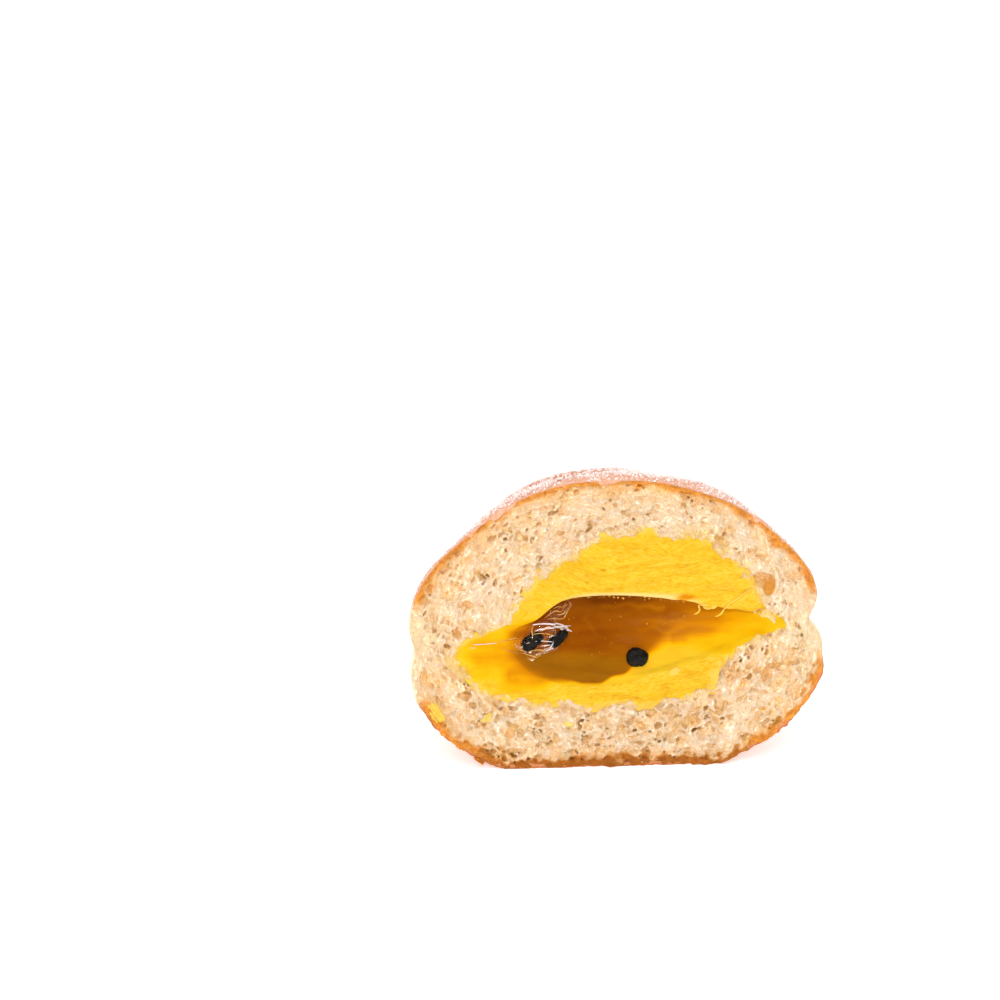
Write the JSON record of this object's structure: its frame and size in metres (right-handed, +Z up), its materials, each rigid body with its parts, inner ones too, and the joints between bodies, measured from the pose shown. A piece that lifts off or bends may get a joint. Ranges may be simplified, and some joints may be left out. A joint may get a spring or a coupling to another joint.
{
  "type": "mango passion fruit doughnut half",
  "caption": "Half of a round filled doughnut standing on its flat base, its cut face showing soft crumb, mango cream and a hollow with passion fruit jelly and seeds.",
  "frame": {"origin": "on the table, under the middle of the bounding box", "axes": "+X to the right across the cut face, +Y from the cut face towards the round back, +Z up through the doughnut's own axis"},
  "size_m": [0.0894, 0.046, 0.0651],
  "materials": {
    "dough": "soft browned crust under fine sugar, and a pale open crumb in the cut",
    "mango_cream": "smooth bright yellow cream with knife streaks",
    "passion_fruit_jelly": "wet amber jelly with glossy black seeds"
  },
  "bodies": {
    "root": {"dough": "dough", "mango_cream": "mango_cream", "passion_fruit_jelly": "passion_fruit_jelly"}
  },
  "joints": []
}
